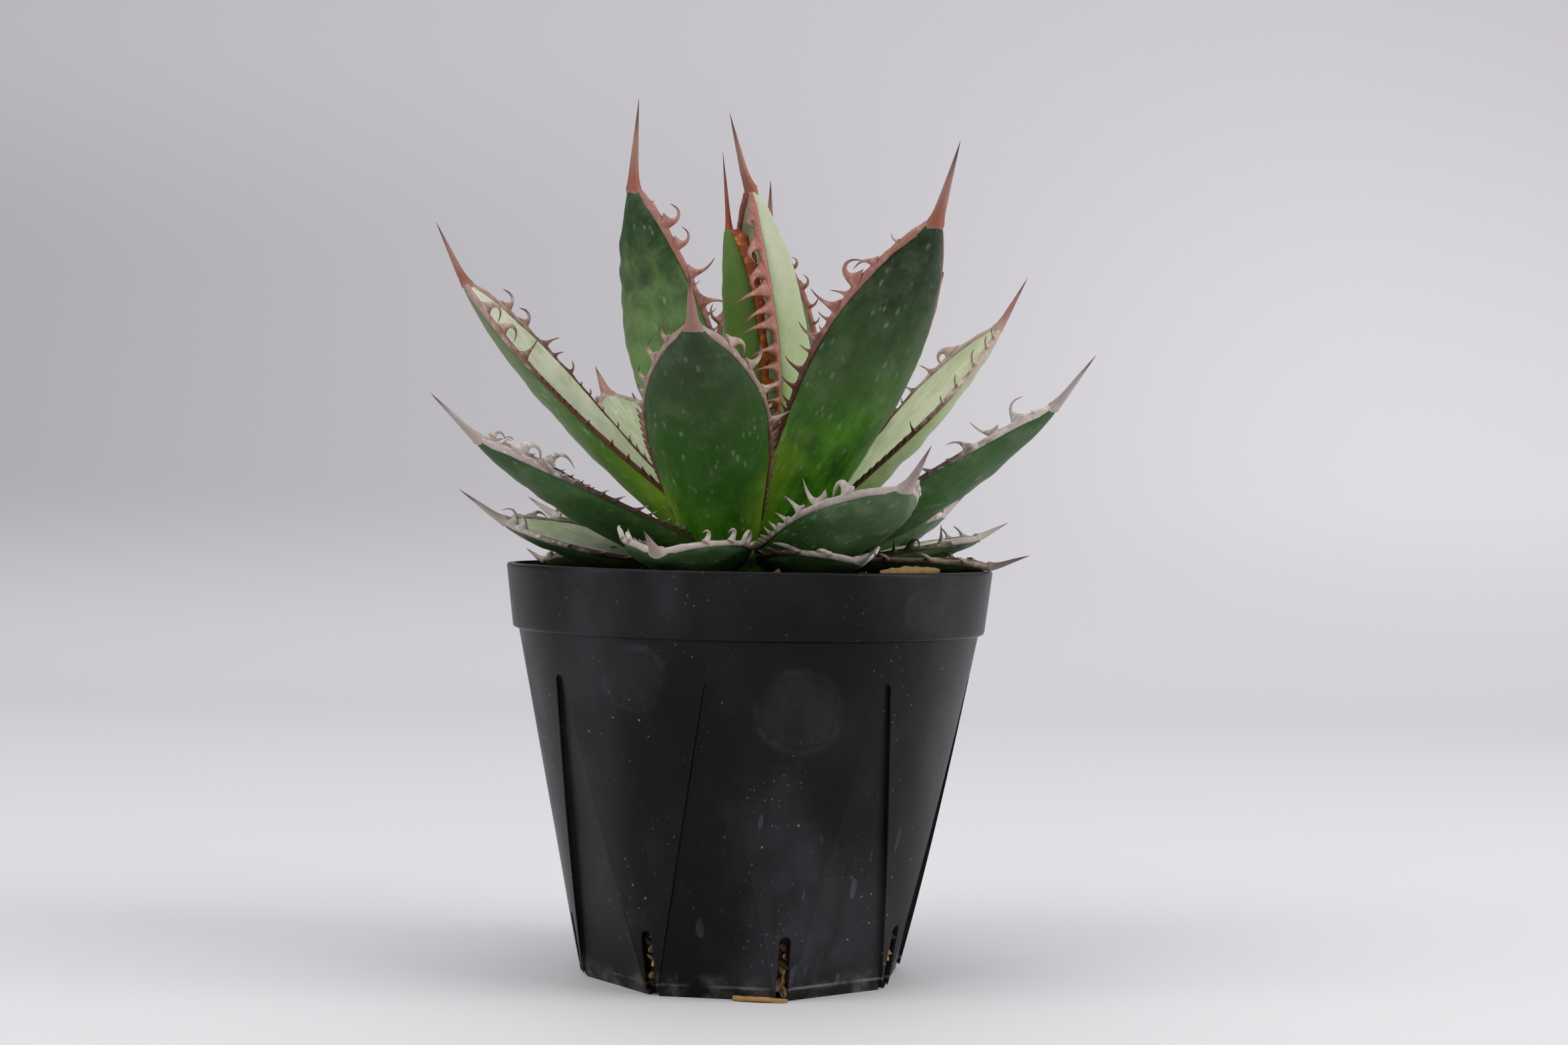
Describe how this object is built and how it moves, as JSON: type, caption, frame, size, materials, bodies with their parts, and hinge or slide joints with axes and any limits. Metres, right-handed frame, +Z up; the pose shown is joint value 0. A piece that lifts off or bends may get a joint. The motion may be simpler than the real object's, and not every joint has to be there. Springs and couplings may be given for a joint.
{
  "type": "potted agave",
  "caption": "Compact agave rosette of broad trough-shaped leaves with hooked horny margins and long terminal spines, growing in a tapered black slit pot.",
  "frame": {"origin": "middle of the pot's underside", "axes": "+Z up the pot's axis, -Y towards the side shown in the picture, +X to that view's right"},
  "size_m": [0.1407, 0.1307, 0.1864],
  "materials": {
    "pot": "semi-matt black polypropylene, lightly dusty",
    "soil": "rough dark potting mix with bark and husk",
    "stem": "smooth pale yellow-green leaf bases",
    "husk": "dry fibrous coconut husk",
    "blade": "thick waxy green leaf with a faint bloom",
    "edge": "hard horny margin, brown to grey"
  },
  "bodies": {
    "root": {"pot": "pot", "soil": "soil", "stem": "stem", "husk_sliver": "husk", "leaf_bud_blade": "blade", "leaf_bud_edge": "edge", "leaf_heart_right_blade": "blade", "leaf_heart_right_edge": "edge", "leaf_heart_back_blade": "blade", "leaf_heart_back_edge": "edge", "leaf_upper_left_blade": "blade", "leaf_upper_left_edge": "edge", "leaf_upper_right_blade": "blade", "leaf_upper_right_edge": "edge", "leaf_front_blade": "blade", "leaf_front_edge": "edge", "leaf_back_left_blade": "blade", "leaf_back_left_edge": "edge", "leaf_left_blade": "blade", "leaf_left_edge": "edge", "leaf_right_blade": "blade", "leaf_right_edge": "edge", "leaf_back_right_blade": "blade", "leaf_back_right_edge": "edge", "leaf_back_middle_blade": "blade", "leaf_back_middle_edge": "edge", "leaf_front_right_blade": "blade", "leaf_front_right_edge": "edge", "leaf_lower_left_blade": "blade", "leaf_lower_left_edge": "edge", "leaf_lower_right_blade": "blade", "leaf_lower_right_edge": "edge", "leaf_front_low_blade": "blade", "leaf_front_low_edge": "edge", "leaf_left_low_blade": "blade", "leaf_left_low_edge": "edge", "leaf_right_low_blade": "blade", "leaf_right_low_edge": "edge", "leaf_back_right_low_blade": "blade", "leaf_back_right_low_edge": "edge", "leaf_back_left_low_blade": "blade", "leaf_back_left_low_edge": "edge", "leaf_back_low_blade": "blade", "leaf_back_low_edge": "edge", "leaf_right_lowest_blade": "blade", "leaf_right_lowest_edge": "edge", "leaf_front_lowest_blade": "blade", "leaf_front_lowest_edge": "edge", "leaf_left_lowest_blade": "blade", "leaf_left_lowest_edge": "edge"}
  },
  "joints": []
}
